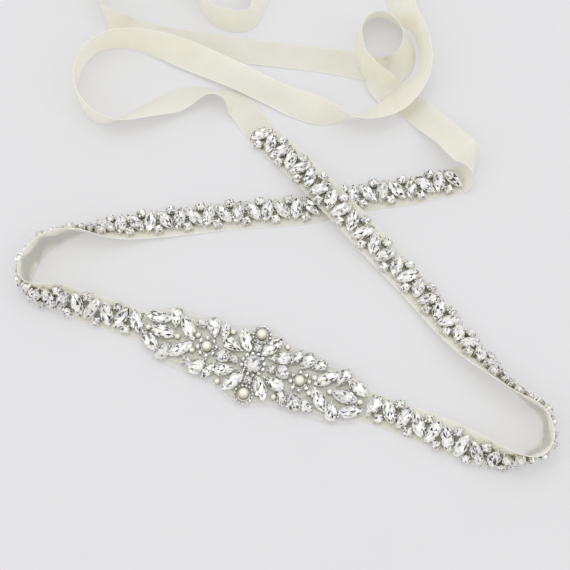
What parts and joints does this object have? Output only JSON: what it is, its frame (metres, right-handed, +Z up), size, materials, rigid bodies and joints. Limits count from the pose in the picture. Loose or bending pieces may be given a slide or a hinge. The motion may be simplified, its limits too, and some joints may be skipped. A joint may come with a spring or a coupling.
{
  "type": "bridal sash",
  "caption": "Narrow ivory satin bridal sash laid in loose loops, with crystal trims and a crystal and pearl centrepiece.",
  "frame": {"origin": "centre of the bounding box at its bottom, on the surface the sash lies on", "axes": "+X to the right and +Y away from the viewer of the picture, along the longest extent of the laid-out sash; +Z up, out of the surface"},
  "size_m": [0.27, 0.3421, 0.0187],
  "materials": {
    "satin": "ivory satin ribbon, soft sheen",
    "crystal": "clear foiled crystal stones in silver claw settings",
    "organza": "sheer pale organza"
  },
  "bodies": {
    "root": {"ribbon_tail_b_end": "satin", "ribbon_tail_b_bight": "satin", "ribbon_tail_b_turn": "satin", "ribbon_tail_b_upper_run": "satin", "ribbon_tail_b_ring": "satin", "ribbon_tail_b_lower_run": "satin", "ribbon_tail_b_fold": "satin", "ribbon_left_run": "satin", "ribbon_left_bend": "satin", "ribbon_front": "satin", "ribbon_right_bend": "satin", "ribbon_right_run": "satin", "ribbon_tail_a_start": "satin", "ribbon_tail_a_turn": "satin", "ribbon_tail_a_long_run": "satin", "ribbon_tail_a_twist": "satin", "ribbon_tail_a_end": "satin", "trim_left": "crystal", "trim_right": "crystal", "centre_backing": "organza", "centre_applique": "crystal"}
  },
  "joints": []
}
